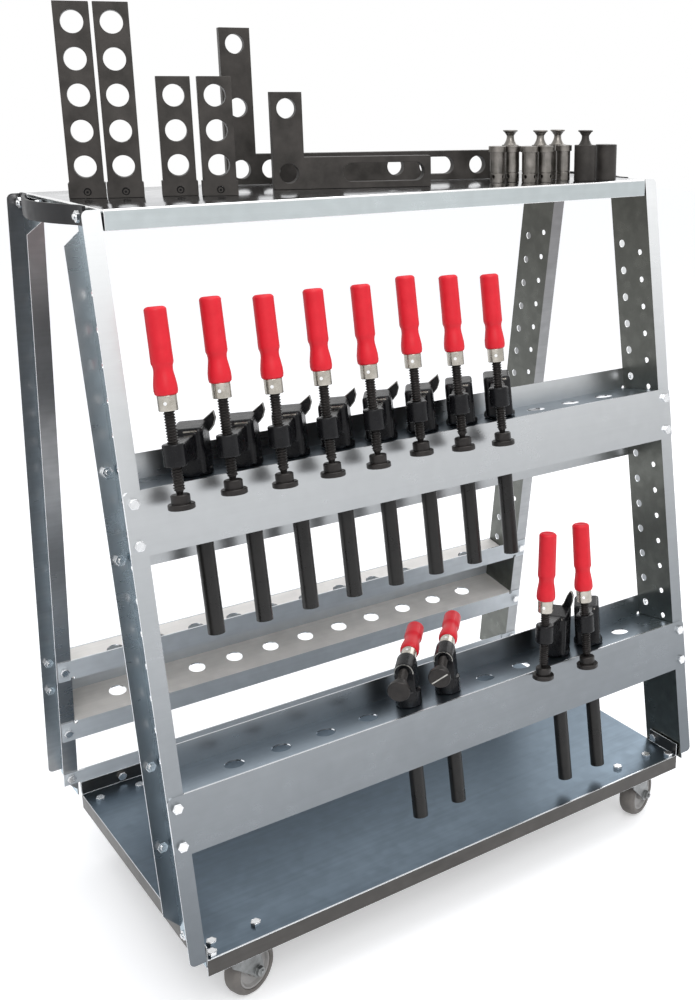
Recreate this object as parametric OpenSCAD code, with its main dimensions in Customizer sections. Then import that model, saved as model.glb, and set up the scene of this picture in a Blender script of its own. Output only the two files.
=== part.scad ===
/* [Frame] */
// Clear width between the inner faces of the left and right post webs
bay_width = 1000; // [950:10:1100]
// Lean of the front and rear frames from the vertical, in degrees
lean = 8.5; // [6:0.5:9]
// Distance from the middle of the carrier to the outside of a post foot
foot_reach = 337; // [325:1:360]
// Height of the bottom tray's surface above the floor
deck_height = 127; // [126:1:145]
// Length of a post, measured up the slope
post_length = 1110; // [1090:5:1150]
// Depth of a post channel, front to back
post_depth = 95; // [90:1:100]
// Width of a post flange, from the web's inner face outward
flange_width = 26; // [25:1:32]
// Thickness of every bent sheet
sheet = 2; // [1.5:0.5:2.5]

/* [Post holes] */
// Spacing of the holes up each post
row_pitch = 50; // [45:1:52]
// Rows of holes in each post
row_count = 15; // [8:1:15]
// Diameter of the large adjusting holes
large_hole = 14; // [10:0.5:16]
// Diameter of the small adjusting holes
small_hole = 10; // [6:0.5:12]

/* [Shelves] */
// Top of the upper front shelf, up the slope from the bottom tray
upper_shelf_up = 732; // [720:1:745]
// Top of the lower front shelf, up the slope from the bottom tray
lower_shelf_up = 277; // [265:1:290]
// Top of the rear shelf, up the slope from the bottom tray
rear_shelf_up = 271; // [260:1:290]
// Height of a shelf's face panel
shelf_height = 94; // [90:1:98]
// Width of the upright brims on the inner side of a shelf
brim_width = 38; // [34:1:42]
// Number of clamp holes in a shelf
hole_count = 11; // [11:1:11]
// Spacing of the clamp holes
hole_pitch = 80; // [76:1:86]
// Diameter of a clamp hole
clamp_hole = 32; // [30:0.5:36]
// Distance from the face panel to the middle of the clamp holes
hole_setback = 42; // [40:1:50]

/* [Trays] */
// How far the top tray's lips stand in front of the posts
tray_overhang = 3; // [2.5:0.5:4]
// Depth of the down turned lips
tray_lip = 29; // [24:1:32]
// How far the bottom tray's front lip is set back from the feet of the front posts
deck_setback = 9; // [7:1:12]
// How far the bottom tray's rear lip is set back from the feet of the rear posts
deck_rear_setback = 103; // [101:1:106]
// Height of the rail that joins the rear posts above the bottom tray
rail_height = 52; // [46:1:60]

/* [Casters] */
// Diameter of a wheel
wheel_diameter = 90; // [84:1:91]
// Width of a wheel's tyre
wheel_width = 32; // [28:1:34]
// Distance from the swivel axis back to the axle
caster_trail = 29; // [24:1:32]
// Distance of the left swivel axes from the middle
caster_left = 437; // [430:1:440]
// Distance of the right swivel axes from the middle
caster_right = 408; // [390:1:430]
// How far the front swivel axes are set back from the feet of the front posts
caster_setback = 47; // [45:1:50]
// How far the rear swivel axes are set back from the feet of the rear posts
caster_rear_setback = 145; // [141:1:156]

/* [Clamps] */
// Diameter of a clamp's tube
tube_diameter = 26; // [22:0.5:28]
// Length of the tube below the shelf's top
tube_drop = 244; // [220:1:260]
// Distance from the tube to the screw of a clamp
clamp_throat = 105; // [95:1:112]
// Diameter of the screw's thread
screw_diameter = 16; // [14:0.5:18]
// Diameter of the pressure pad
pad_diameter = 38; // [32:1:40]
// Length of the red grip
grip_length = 120; // [100:1:124]
// Diameter of the red grip
grip_diameter = 31; // [28:1:33]

/* [Top load] */
// Width of a stop bar
bar_width = 49; // [46:1:50]
// Thickness of a stop bar
bar_thickness = 25; // [20:1:28]
// Thickness of an angle stop
angle_thickness = 20; // [16:1:25]
// Spacing of the holes in the stop bars
bar_pitch = 50; // [48:1:54]
// Diameter of the holes in the stop bars
bar_hole = 32; // [26:1:34]
// Diameter of a clamping bolt
pin_diameter = 25; // [22:1:26]

/* [Hidden] */
CASTERS = ["front_left", "front_right", "rear_left", "rear_right"];

$fn = 48;
// Overshoot of a cutting tool past the face that it opens
past = 1;
// Gap between two pieces that only rest on each other
rest_gap = 0.3;
// Radial clearance of a running fit
running_fit = 0.1;
// Radius of the bends and rounded corners of the sheets
bend_radius = 4;
corner_radius = 9;
half_bay = bay_width / 2;

// Posts
post_foot = 6.5;
post_top = post_foot + post_length;
web_foot = -3;
web_level = 5;
inner_flange_top = post_top - 21;
inner_flange_foot = post_foot + 16;
top_chamfer = 21;
foot_chamfer = 28;
top_hole_setback = 111;
column_offset = 18;
hole_top_inner = post_top - top_hole_setback;
hole_top_outer = hole_top_inner - column_offset;
inner_column = post_depth - 22;
outer_column = 26;
// Foot tabs bent inward under the bottom tray
tab_reach = 26;
tab_width = 18;
tab_bolt_y = foot_reach - 20;
tab_bolt_inset = 16;

// Bolts that hold the shelves and trays
bolt_diameter = 8;
bolt_hole = bolt_diameter + 1;
head_across = 15;
head_height = 5.5;
nut_height = 6.5;
flange_bolt_out = 13;
panel_bolt_offset = 30;
brim_bolt_offset = shelf_height / 2 + brim_width / 2;
tail = 3;
shelf_reach = half_bay + flange_width;
floor_gap = 1.5;
floor_reach = half_bay - floor_gap;
first_hole = -hole_pitch * (hole_count - 1) / 2;

// Trays
tray_gap = 3;
ear_height = 25;
ear_end = foot_reach - 85;
ear_bolt_y = foot_reach - 71;
ear_bolt_up = 12;
side_lip_start = foot_reach - 69;
tray_reach = half_bay - tray_gap;
deck_reach = half_bay - tray_gap;
deck_front = foot_reach - deck_setback;
deck_back = foot_reach - deck_rear_setback;
table_height = deck_height + post_top * cos(lean);
top_tray_reach = foot_reach - post_top * sin(lean) + tray_overhang;
deck_lip = tray_lip;
back_lip = 26;
side_bolt_down = 14;
rail_bolt_inset = 80;
rail_bolt_up = 42;
rail_ear_foot = 26;

// Bowed grab straps, above the lowered inner flanges
strap_height = 28;
strap_thickness = 5;
strap_rise = 1;
strap_bow = 33;
// Distances of the strap's ends and of the side bolts from the posts' faces at the top
post_face = foot_reach - (table_height - side_bolt_down - deck_height) * tan(lean);
strap_front_inset = 54;
strap_back_inset = 6;
strap_front = strap_front_inset - post_face;
strap_back = post_face - strap_back_inset;
strap_front_bolt = 14;
strap_back_bolt = 10;
strap_bolts = [strap_front + strap_front_bolt, strap_back - strap_back_bolt];
web_bolt_edge = 10;
web_bolt = post_face - post_depth / cos(lean) + web_bolt_edge;
// The strap's curve: place along its length and share of the bow
STRAP_CURVE = [
    [0, 0], [0.076, 0], [0.156, 0.333], [0.26, 0.7], [0.382, 0.94], [0.486, 1],
    [0.59, 0.88], [0.747, 0.576], [0.885, 0.18], [0.931, 0], [1, 0]
];

// Casters
plate_length = 100;
plate_width = 62;
plate_thickness = 3;
plate_bolt_spacing = 75;
plate_bolt_shift = 4;
race_diameter = 54;
wheel_clearance = 3.5;
crown_thickness = 3.5;
crown_gap = 1;
kingpin = 12;
fork_sheet = 3;
leg_gap = 3;
axle_diameter = 8;
axle_height = wheel_diameter / 2;
leg_end_radius = 12;
core_radius = 33;
hub_radius = 13;
hub_width = wheel_width + 4;
plate_top = deck_height - sheet;
crown_top = wheel_diameter + wheel_clearance + crown_thickness;
race_bottom = crown_top + crown_gap;
race_height = plate_top - plate_thickness - race_bottom;
caster_front = foot_reach - caster_setback;
caster_rear = foot_reach - caster_rear_setback;
leg_offset = wheel_width / 2 + leg_gap;
front_turn = 20;
rear_turn = -12;

// Clamps
tube_top = 60;
collar_diameter = 54;
collar_height = 9;
housing_width = 46;
housing_depth = 54;
housing_corner = 6;
arm_width = 24;
boss_diameter = 32;
boss_height = 32;
lever_thickness = 8;
// Outlines of the release levers, sideways and up from the shelf's top
SHORT_LEVER = [[12, 60], [24, 59], [31, 67], [35, 78], [33, 90], [28, 86], [14, 76]];
LONG_LEVER = [[-3, 74], [8, 88], [14, 104], [19, 113], [23, 112], [26, 104], [25, 92], [20, 74]];
ferrule_diameter = 27;
ferrule_height = 22;
cross_pin = 5;
neck_diameter = 9;
neck_length = 5;
pad_disc = 8;
pad_step = 13;
pad_step_diameter = 27;
screw_length = 280;
// Per group of clamps: height of the housing and of the boss's lower end
upper_head = [78, 31.5];
large_head = [84, 57];
upper_swing = 35;
upper_pad_drops = [29, 23, 28, 27, 28, 22, 28, 33];
large_swings = [51, 42];
large_tilts = [6.5, 1.5];
large_pad_drop = 10;
large_screw_length = 264;
large_clamp_holes = [9, 10];
small_clamp_holes = [5, 6];
small_swing = 43;
// Small clamps, with the screw across the tube's top
small_tube_drop = 203;
small_axis_height = 66;
small_tilt = 14.5;
small_boss = 36;
small_pad_reach = 72;
small_screw_length = 192;
small_grip = 78;
small_head_width = 34;
small_sleeve = 45;
small_sleeve_height = 26;
small_tube_top = 40;
small_head_foot = 20;
small_head_front = 17;
small_head_depth = 36;

// Load on the top tray
bar_turn = -20;
tall_holes = 5;
short_holes = 3;
bar_first_hole = 45;
bar_end = 27;
foot_extra = 4;
foot_height = 22;
screw_height = 9;
bar_screw = 11;
bar_places = [[-451, 17], [-401, -4], [-323, -21], [-273, -54]];
angle_width = 50;
angle_hole = 31;
angle_pitch = 100;
slot_height = 30;
// Each angle stop: front left corner, turn, height of the upright and length of the leg
tall_angle = [-176, 129, -15, 250, 500];
short_angle = [-159, -8, -18, 150, 261];
// Holes along the leg, and the middles of the slot's round ends
tall_leg_holes = [75, 296, 450];
tall_slot = [355, 390];
short_slot = [128, 235];
pin_places = [[232, -82], [263, -84], [277, -114], [309, -119], [358, -109]];
knob_pin_places = [[285, -50], [324, -86], [371, -77]];
black_pin_places = [[390, -131], [437, -134]];
pin_height = 61;
pin_head = 10;
pin_head_extra = 5;
pin_groove = 1.2;
pin_groove_up = 15;
pin_ball = 6;
pin_ball_up = 10;
black_pin = 38;
knob_stem = 13;
knob_cap = 26;
knob_height = 25;

// Finishes
GALVANISED = [0.74, 0.77, 0.79];
ZINC = [0.85, 0.86, 0.84];
TYRE = [0.42, 0.38, 0.34];
BLACK = [0.07, 0.07, 0.075];
BURNISHED = [0.23, 0.22, 0.21];
RED = [0.85, 0.12, 0.15];
NICKEL = [0.78, 0.76, 0.70];
STEEL = [0.55, 0.53, 0.50];

// A leaning frame: X along the carrier, Y inward from the face of the posts, Z up the slope
module front_frame() {
    translate([0, -foot_reach, deck_height]) rotate([-lean, 0, 0]) children();
}

module rear_frame() {
    mirror([0, 1, 0]) front_frame() children();
}

// A flat plate in the X and Z plane with rounded corners, from y to y + thickness
module plate(x0, x1, z0, z1, y, thickness, radius) {
    translate([0, y + thickness, 0]) rotate([90, 0, 0]) linear_extrude(thickness)
        rounded_rectangle(x0, x1, z0, z1, radius);
}

module rounded_rectangle(x0, x1, y0, y1, radius) {
    translate([x0 + radius, y0]) square([x1 - x0 - 2 * radius, y1 - y0]);
    translate([x0, y0 + radius]) square([x1 - x0, y1 - y0 - 2 * radius]);
    for (x = [x0 + radius, x1 - radius], y = [y0 + radius, y1 - radius])
        translate([x, y]) circle(radius);
}

// A round cut along Y through a flange or brim
module cross_hole(x, z, y, depth, diameter) {
    translate([x, y - past, z]) rotate([-90, 0, 0]) cylinder(d = diameter, h = depth + 2 * past);
}

function shelf_middle(up) = up - shelf_height / 2;

// Heights of the holes that one shelf needs in the outer and inner flanges
function panel_rows(ups) = [for (up = ups, s = [-1, 1]) shelf_middle(up) + s * panel_bolt_offset];
function brim_rows(ups) = [for (up = ups, s = [-1, 1]) shelf_middle(up) + s * brim_bolt_offset];

// The web's ends are level, its top just under the top tray's surface
function web_outline() = [
    for (end = [[0, 0], [post_depth, 0], [post_depth, 1], [0, 1]])
        [end[0], end[1] == 0 ? web_foot + end[0] * tan(lean) : level_cut(end[0])]
];
function level_cut(y) = (post_top * cos(lean) - web_level + y * sin(lean)) / cos(lean);

// The right hand post of a frame, with the heights of the shelves that it carries
module post(ups, large_inside) {
    flange_out = half_bay + flange_width;
    difference() {
        union() {
            translate([half_bay, 0, 0]) rotate([90, 0, 90]) linear_extrude(sheet) polygon(web_outline());
            intersection() {
                plate(half_bay - corner_radius, flange_out, post_foot, post_top, 0, sheet, corner_radius);
                translate([half_bay, -past, 0]) cube([flange_width + past, sheet + 2 * past, post_top + past]);
            }
            translate([0, post_depth, 0]) rotate([90, 0, 0]) linear_extrude(sheet)
                polygon([
                    [half_bay, inner_flange_foot],
                    [flange_out, inner_flange_foot + foot_chamfer],
                    [flange_out, inner_flange_top - top_chamfer],
                    [half_bay, inner_flange_top]
                ]);
        }
        for (row = [0:row_count - 1]) {
            post_hole(inner_column, hole_top_inner - row * row_pitch, large_inside ? large_hole : small_hole);
            post_hole(outer_column, hole_top_outer - row * row_pitch, large_inside ? small_hole : large_hole);
        }
        for (z = panel_rows(ups)) cross_hole(half_bay + flange_bolt_out, z, 0, sheet, bolt_hole);
        for (z = brim_rows(ups))
            cross_hole(half_bay + flange_bolt_out, z, post_depth - sheet, sheet, bolt_hole);
    }
}

module post_hole(y, z, diameter) {
    translate([half_bay - past, y, z]) rotate([0, 90, 0]) cylinder(d = diameter, h = sheet + 2 * past);
}

// A horizontal foot tab under the bottom tray, joined to the web
module foot_tab() {
    top = deck_height - sheet;
    difference() {
        union() {
            translate([half_bay - tab_reach, -tab_bolt_y - tab_width / 2, top - sheet])
                cube([tab_reach + sheet, tab_width, sheet]);
            translate([half_bay, -tab_bolt_y - tab_width / 2, top - sheet]) cube([sheet, tab_width, 8]);
        }
        translate([half_bay - tab_bolt_inset, -tab_bolt_y, top - sheet - past])
            cylinder(d = bolt_hole, h = sheet + 2 * past);
    }
}

// The side bolts of the top tray pass through the webs and the straps
module top_side_holes() {
    reach = half_bay + sheet + strap_thickness + past;
    for (y = concat(strap_bolts, [web_bolt])) translate([-reach, y, table_height - side_bolt_down])
        rotate([0, 90, 0]) cylinder(d = bolt_hole, h = 2 * reach);
}

module front_post() {
    color(GALVANISED) difference() {
        union() {
            front_frame() post([upper_shelf_up, lower_shelf_up], true);
            foot_tab();
        }
        top_side_holes();
        ear_holes();
    }
}

module rear_post() {
    color(GALVANISED) difference() {
        rear_frame() post([rear_shelf_up], false);
        top_side_holes();
        rail_bolt_cuts();
    }
}

// Bolts that hold the rear rail to the inner flanges of the rear posts
rail_bolt_x = half_bay + flange_bolt_out;
rail_bolt_z = deck_height + rail_bolt_up;
rail_y = foot_reach - (rail_bolt_z - deck_height) * tan(lean) - post_depth / cos(lean);

module rail_bolt_cuts() {
    for (s = [-1, 1])
        translate([s * rail_bolt_x, rail_y + 12, rail_bolt_z]) rotate([90, 0, 0]) cylinder(d = bolt_hole, h = 24);
}

module post_front_right() { front_post(); }
module post_front_left() { mirror([1, 0, 0]) front_post(); }
module post_rear_right() { rear_post(); }
module post_rear_left() { mirror([1, 0, 0]) rear_post(); }

// A shallow tray with four lips turned down
module top_tray() {
    color(GALVANISED) difference() {
        translate([-tray_reach, -top_tray_reach, table_height - tray_lip])
            cube([2 * tray_reach, 2 * top_tray_reach, tray_lip]);
        translate([sheet - tray_reach, sheet - top_tray_reach, table_height - tray_lip - past])
            cube([2 * (tray_reach - sheet), 2 * (top_tray_reach - sheet), tray_lip - sheet + past]);
        top_side_holes();
    }
}

module ear_holes() {
    translate([-half_bay - sheet - past, -ear_bolt_y, deck_height + ear_bolt_up])
        rotate([0, 90, 0]) cylinder(d = bolt_hole, h = bay_width + 2 * sheet + 2 * past);
}

// A handle of flat bar: its ends lie on the outside of the two webs and its middle bows outward
module grab_strap() {
    outer = [for (p = STRAP_CURVE)
        [half_bay + sheet + strap_thickness + strap_bow * p[1], strap_front + p[0] * (strap_back - strap_front)]
    ];
    last = len(outer) - 1;
    inner = [for (i = [0:last]) outer[last - i] - [strap_thickness, 0]];
    color(BLACK) difference() {
        translate([0, 0, table_height + strap_rise - strap_height]) linear_extrude(strap_height)
            polygon(concat(outer, inner));
        top_side_holes();
    }
}

module grab_strap_right() { grab_strap(); }
module grab_strap_left() { mirror([1, 0, 0]) grab_strap(); }

// Outline of a shelf across its length, one bent sheet: brim, floor, face, floor, brim
module shelf_section() {
    difference() {
        rounded_rectangle(-sheet, post_depth + sheet, -shelf_height, 0, bend_radius);
        translate([0, sheet - shelf_height]) square([post_depth + sheet + past, shelf_height - 2 * sheet]);
    }
    for (z = [-shelf_height, -bend_radius - sheet])
        translate([post_depth - bend_radius, z == -shelf_height ? z : -sheet])
            square([bend_radius + sheet, sheet]);
}

module shelf(up) {
    color(GALVANISED) translate([0, 0, up]) difference() {
        union() {
            rotate([90, 0, 90]) translate([0, 0, -floor_reach]) linear_extrude(2 * floor_reach) shelf_section();
            plate(-shelf_reach, shelf_reach, -shelf_height, 0, -sheet, sheet, corner_radius);
            for (z = [-sheet, -shelf_height - brim_width])
                plate(-shelf_reach + 2, shelf_reach - 2, z, z + brim_width + sheet, post_depth, sheet, sheet);
        }
        for (i = [0:hole_count - 1])
            translate([first_hole + i * hole_pitch, hole_setback, -shelf_height - past])
                cylinder(d = clamp_hole, h = shelf_height + 2 * past);
        for (s = [-1, 1], z = panel_rows([0]))
            cross_hole(s * (half_bay + flange_bolt_out), z, -sheet, sheet, bolt_hole);
        for (s = [-1, 1], z = brim_rows([0]))
            cross_hole(s * (half_bay + flange_bolt_out), z, post_depth, sheet, bolt_hole);
        for (s = [-1, 1], z = [0, -shelf_height])
            cross_hole(s * floor_reach, z, post_depth, sheet, 2 * bend_radius);
    }
}

module upper_front_shelf() { front_frame() shelf(upper_shelf_up); }
module lower_front_shelf() { front_frame() shelf(lower_shelf_up); }
module rear_shelf() { rear_frame() shelf(rear_shelf_up); }

function caster_x(side) = side < 0 ? -caster_left : caster_right;
function caster_y(end) = end < 0 ? -caster_front : caster_rear;

// Places of the bolts that pass down through the bottom tray
function plate_bolts() = [
    for (sx = [-1, 1], sy = [-1, 1], b = [-0.5, 0.5])
        [caster_x(sx) + b * plate_bolt_spacing, caster_y(sy) + sy * plate_bolt_shift]
];
function tab_bolt_places() = [for (sx = [-1, 1]) [sx * (half_bay - tab_bolt_inset), -tab_bolt_y]];

module bottom_tray() {
    color(GALVANISED) difference() {
        union() {
            translate([-deck_reach, -deck_front, deck_height - sheet])
                cube([2 * deck_reach, deck_front + deck_back, sheet]);
            translate([-deck_reach, -deck_front, deck_height - deck_lip])
                cube([2 * deck_reach, sheet, deck_lip]);
            translate([-deck_reach, deck_back - sheet, deck_height - sheet])
                cube([2 * deck_reach, sheet, back_lip + sheet]);
            for (s = [-1, 1]) {
                side_wall(s, -side_lip_start, deck_back, deck_height - deck_lip, deck_height);
                side_wall(s, -deck_front, -ear_end, deck_height - sheet, deck_height + ear_height);
            }
        }
        for (p = concat(plate_bolts(), tab_bolt_places()))
            translate([p[0], p[1], deck_height - sheet - past]) cylinder(d = bolt_hole, h = sheet + 2 * past);
        for (s = [-1, 1])
            cross_hole(s * (half_bay - rail_bolt_inset), rail_bolt_level(), deck_back - sheet, sheet, bolt_hole);
        ear_holes();
    }
}

module side_wall(s, y0, y1, z0, z1) {
    translate([s * (deck_reach - sheet / 2) - sheet / 2, y0, z0]) cube([sheet, y1 - y0, z1 - z0]);
}

function rail_bolt_level() = deck_height + back_lip / 2;

// An upright strip behind the bottom tray that ties the rear posts together
module rear_rail() {
    color(GALVANISED) difference() {
        union() {
            translate([-deck_reach, deck_back, deck_height]) cube([2 * deck_reach, sheet, rail_height]);
            for (s = [-1, 1]) rail_ear(s);
        }
        for (s = [-1, 1])
            cross_hole(s * (half_bay - rail_bolt_inset), rail_bolt_level(), deck_back, sheet, bolt_hole);
        rail_bolt_cuts();
    }
}

// The end of the rail, set back to lie on the leaning inner flange
module rail_ear(s) {
    y_in = post_depth;
    intersection() {
        rear_frame() translate([s * (half_bay + flange_width / 2) - flange_width, y_in, 0])
            cube([2 * flange_width, sheet, 2 * rail_height]);
        translate([-half_bay - flange_width, 0, deck_height + rail_ear_foot])
            cube([2 * (half_bay + flange_width), foot_reach, rail_height - rail_ear_foot]);
    }
}

// A hex bolt whose head rests on z = 0 and whose shank points down
module hex_bolt(shank) {
    cylinder(d = head_across / cos(30), h = head_height, $fn = 6);
    cylinder(d = head_across - 2, h = head_height + 0.5);
    translate([0, 0, -shank]) cylinder(d = bolt_diameter, h = shank + past);
}

// A hex nut whose seat is z = 0, below it
module hex_nut() {
    translate([0, 0, -nut_height]) difference() {
        cylinder(d = head_across / cos(30), h = nut_height, $fn = 6);
        translate([0, 0, -past]) cylinder(d = bolt_diameter + running_fit, h = nut_height + 2 * past);
    }
}

// Places each child at one shelf bolt: the seat of the head, or the seat of the nut
module at_panel_bolts(up, y) {
    for (s = [-1, 1], z = panel_rows([up])) translate([s * (half_bay + flange_bolt_out), y, z]) children();
}

module at_brim_bolts(up, y) {
    for (s = [-1, 1], z = brim_rows([up])) translate([s * (half_bay + flange_bolt_out), y, z]) children();
}

module shelf_bolts(up) {
    shank = 2 * sheet + nut_height + tail;
    at_panel_bolts(up, -sheet) rotate([90, 0, 0]) hex_bolt(shank);
    at_brim_bolts(up, post_depth + sheet) rotate([-90, 0, 0]) hex_bolt(shank);
}

module shelf_nuts(up) {
    at_panel_bolts(up, sheet) rotate([90, 0, 0]) hex_nut();
    at_brim_bolts(up, post_depth - sheet) rotate([-90, 0, 0]) hex_nut();
}

module at_side_bolts(x, places) {
    for (sx = [-1, 1], y = places)
        translate([sx * x, y, table_height - side_bolt_down]) rotate([0, sx * 90, 0]) children();
}

module frame_bolts() {
    deck_shank = sheet + plate_thickness + nut_height + tail;
    web_shank = 2 * sheet + tray_gap + nut_height + tail;
    rail_shank = 2 * sheet + nut_height + tail;
    color(ZINC) {
        front_frame() { shelf_bolts(upper_shelf_up); shelf_bolts(lower_shelf_up); }
        rear_frame() shelf_bolts(rear_shelf_up);
        at_side_bolts(tray_reach - sheet, strap_bolts) rotate([180, 0, 0]) hex_bolt(web_shank + strap_thickness);
        at_side_bolts(tray_reach - sheet, [web_bolt]) rotate([180, 0, 0]) hex_bolt(web_shank);
        for (sx = [-1, 1]) translate([sx * (deck_reach - sheet), -ear_bolt_y, deck_height + ear_bolt_up])
            rotate([0, -sx * 90, 0]) hex_bolt(web_shank);
        for (p = concat(plate_bolts(), tab_bolt_places())) translate([p[0], p[1], deck_height]) hex_bolt(deck_shank);
        for (s = [-1, 1]) translate([s * (half_bay - rail_bolt_inset), deck_back - sheet, rail_bolt_level()])
            rotate([90, 0, 0]) hex_bolt(rail_shank);
        rear_frame() rail_bolt_at() rotate([-90, 0, 0]) hex_bolt(rail_shank);
    }
}

// Rail bolts, in the rear frame
module rail_bolt_at(y = post_depth + sheet) {
    for (s = [-1, 1]) translate([s * rail_bolt_x, y, (rail_bolt_z - deck_height) / cos(lean) + 14]) children();
}

module frame_nuts() {
    color(ZINC) {
        front_frame() { shelf_nuts(upper_shelf_up); shelf_nuts(lower_shelf_up); }
        rear_frame() shelf_nuts(rear_shelf_up);
        at_side_bolts(half_bay + sheet + strap_thickness, strap_bolts) rotate([180, 0, 0]) hex_nut();
        at_side_bolts(half_bay + sheet, [web_bolt]) rotate([180, 0, 0]) hex_nut();
        for (sx = [-1, 1]) translate([sx * (half_bay + sheet), -ear_bolt_y, deck_height + ear_bolt_up])
            rotate([0, -sx * 90, 0]) hex_nut();
        for (p = plate_bolts()) translate([p[0], p[1], plate_top - plate_thickness]) hex_nut();
        for (p = tab_bolt_places()) translate([p[0], p[1], plate_top - sheet]) hex_nut();
        for (s = [-1, 1]) translate([s * (half_bay - rail_bolt_inset), deck_back + sheet, rail_bolt_level()])
            rotate([90, 0, 0]) hex_nut();
        rear_frame() rail_bolt_at(post_depth - sheet) rotate([-90, 0, 0]) hex_nut();
    }
}

module caster_plates() {
    color(ZINC) for (sx = [-1, 1], sy = [-1, 1]) translate([caster_x(sx), caster_y(sy), 0]) difference() {
        union() {
            translate([0, sy * plate_bolt_shift, plate_top - plate_thickness]) linear_extrude(plate_thickness)
                rounded_rectangle(
                    -plate_length / 2, plate_length / 2, -plate_width / 2, plate_width / 2, corner_radius);
            translate([0, 0, race_bottom]) cylinder(d = race_diameter, h = race_height + 0.5);
        }
        translate([0, 0, race_bottom - past]) cylinder(d = kingpin + 2 * running_fit, h = 40);
        // Room for the foot tab between the plate and the tray
        if (sy < 0) translate([sx * (half_bay - tab_reach / 2) - caster_x(sx), caster_front - tab_bolt_y, plate_top - 5])
            cube([tab_reach + 2, tab_width + 2, 20], center = true);
        for (b = [-0.5, 0.5]) translate([b * plate_bolt_spacing, sy * plate_bolt_shift, race_bottom - past])
            cylinder(d = bolt_hole, h = 40);
    }
}

function caster_turn(end) = end < 0 ? front_turn : rear_turn;

// Places its children at a caster, with X pointing along the trail
module at_caster(sx, sy) {
    translate([caster_x(sx), caster_y(sy), 0]) rotate([0, 0, caster_turn(sy)]) children();
}

// One side of the fork, in the X and Z plane: crown, leg and rounded end
module leg_outline() {
    translate([caster_trail, axle_height]) circle(leg_end_radius);
    polygon([
        [-26, crown_top], [-24, crown_top - 14], [caster_trail - leg_end_radius, axle_height - 2],
        [caster_trail + leg_end_radius, axle_height + 2], [34, crown_top - 14], [30, crown_top]
    ]);
}

module caster_fork(sx, sy) {
    color(ZINC) at_caster(sx, sy) {
        difference() {
            union() {
                for (s = [-1, 1])
                    translate([0, s * (leg_offset + fork_sheet / 2) + fork_sheet / 2, 0])
                        rotate([90, 0, 0]) linear_extrude(fork_sheet) leg_outline();
                translate([-26, -leg_offset - fork_sheet, crown_top - crown_thickness])
                    cube([56, 2 * (leg_offset + fork_sheet), crown_thickness]);
                translate([0, 0, crown_top - crown_thickness])
                    cylinder(d = race_diameter - 10, h = crown_thickness + crown_gap - rest_gap);
                translate([0, 0, crown_top - crown_thickness])
                    cylinder(d = kingpin, h = plate_top - rest_gap - crown_top + crown_thickness);
            }
            translate([caster_trail, leg_offset + fork_sheet + past, axle_height]) rotate([90, 0, 0])
                cylinder(d = axle_diameter, h = 2 * (leg_offset + fork_sheet + past));
        }
        axle_length = 2 * (leg_offset + fork_sheet);
        translate([caster_trail, 0, axle_height]) {
            rotate([90, 0, 0]) cylinder(d = axle_diameter, h = axle_length + 2 * nut_height + 2 * tail, center = true);
            for (s = [-1, 1]) translate([0, s * (axle_length / 2 + nut_height / 2), 0]) rotate([90, 0, 0])
                cylinder(d = head_across / cos(30), h = nut_height, center = true, $fn = 6);
        }
    }
}

module at_wheel(sx, sy) {
    at_caster(sx, sy) translate([caster_trail, 0, axle_height]) rotate([90, 0, 0]) children();
}

module caster_tyre(sx, sy) {
    half = wheel_width / 2;
    radius = wheel_diameter / 2;
    color(TYRE) at_wheel(sx, sy) rotate_extrude($fn = 96) polygon([
        [core_radius, -half + 1], [core_radius + 3, -half], [radius - 6, -half], [radius - 1.5, -half + 5],
        [radius, -half + 10], [radius, half - 10], [radius - 1.5, half - 5], [radius - 6, half],
        [core_radius + 3, half], [core_radius, half - 1]
    ]);
}

module caster_wheel(sx, sy) {
    half = wheel_width / 2;
    bore = axle_diameter / 2 + running_fit;
    color(STEEL) at_wheel(sx, sy) rotate_extrude($fn = 96) polygon([
        [bore, -hub_width / 2], [hub_radius, -hub_width / 2],
        [hub_radius, -half + 8], [core_radius - 6, -half + 8], [core_radius - 3, -half + 2], [core_radius, -half + 2],
        [core_radius, half - 2], [core_radius - 3, half - 2], [core_radius - 6, half - 8],
        [hub_radius, half - 8], [hub_radius, hub_width / 2], [bore, hub_width / 2]
    ]);
}

// Stands its children on a shelf's hole, turned so that -Y points along the clamp's arm
module at_hole(up, hole, swing) {
    front_frame() translate([first_hole + (hole - 1) * hole_pitch, hole_setback, up]) rotate([0, 0, -swing])
        children();
}

// The head of a clamp, cocked sideways on its tube and lifted so that its collar clears the shelf
module at_head(tilt) {
    translate([0, 0, collar_diameter / 2 * sin(tilt)]) rotate([0, tilt, 0]) children();
}

// The tube, the cast housing with its collar, the arm with its threaded boss and the release lever
module clamp_body(up, hole, swing, head, tilt, lever, lever_turn) {
    housing_top = head[0];
    boss_bottom = head[1];
    color(BLACK) at_hole(up, hole, swing) difference() {
        union() {
            translate([0, 0, -tube_drop]) cylinder(d = tube_diameter, h = tube_drop + tube_top);
            at_head(tilt) {
                translate([0, 0, rest_gap]) cylinder(d = collar_diameter, h = collar_height);
                translate([0, 0, collar_height]) linear_extrude(housing_top - collar_height) rounded_rectangle(
                    -housing_width / 2, housing_width / 2, -housing_depth / 2, housing_depth / 2, housing_corner);
                translate([-arm_width / 2, -clamp_throat, boss_bottom])
                    cube([arm_width, clamp_throat, min(boss_height, housing_top - boss_bottom)]);
                translate([0, -clamp_throat, boss_bottom]) cylinder(d = boss_diameter, h = boss_height);
                rotate([0, 0, lever_turn]) release_lever(lever, lever_turn);
            }
        }
        at_head(tilt) translate([0, -clamp_throat, boss_bottom - past])
            cylinder(d = screw_diameter + 2 * running_fit, h = boss_height + 2 * past);
    }
}

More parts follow.
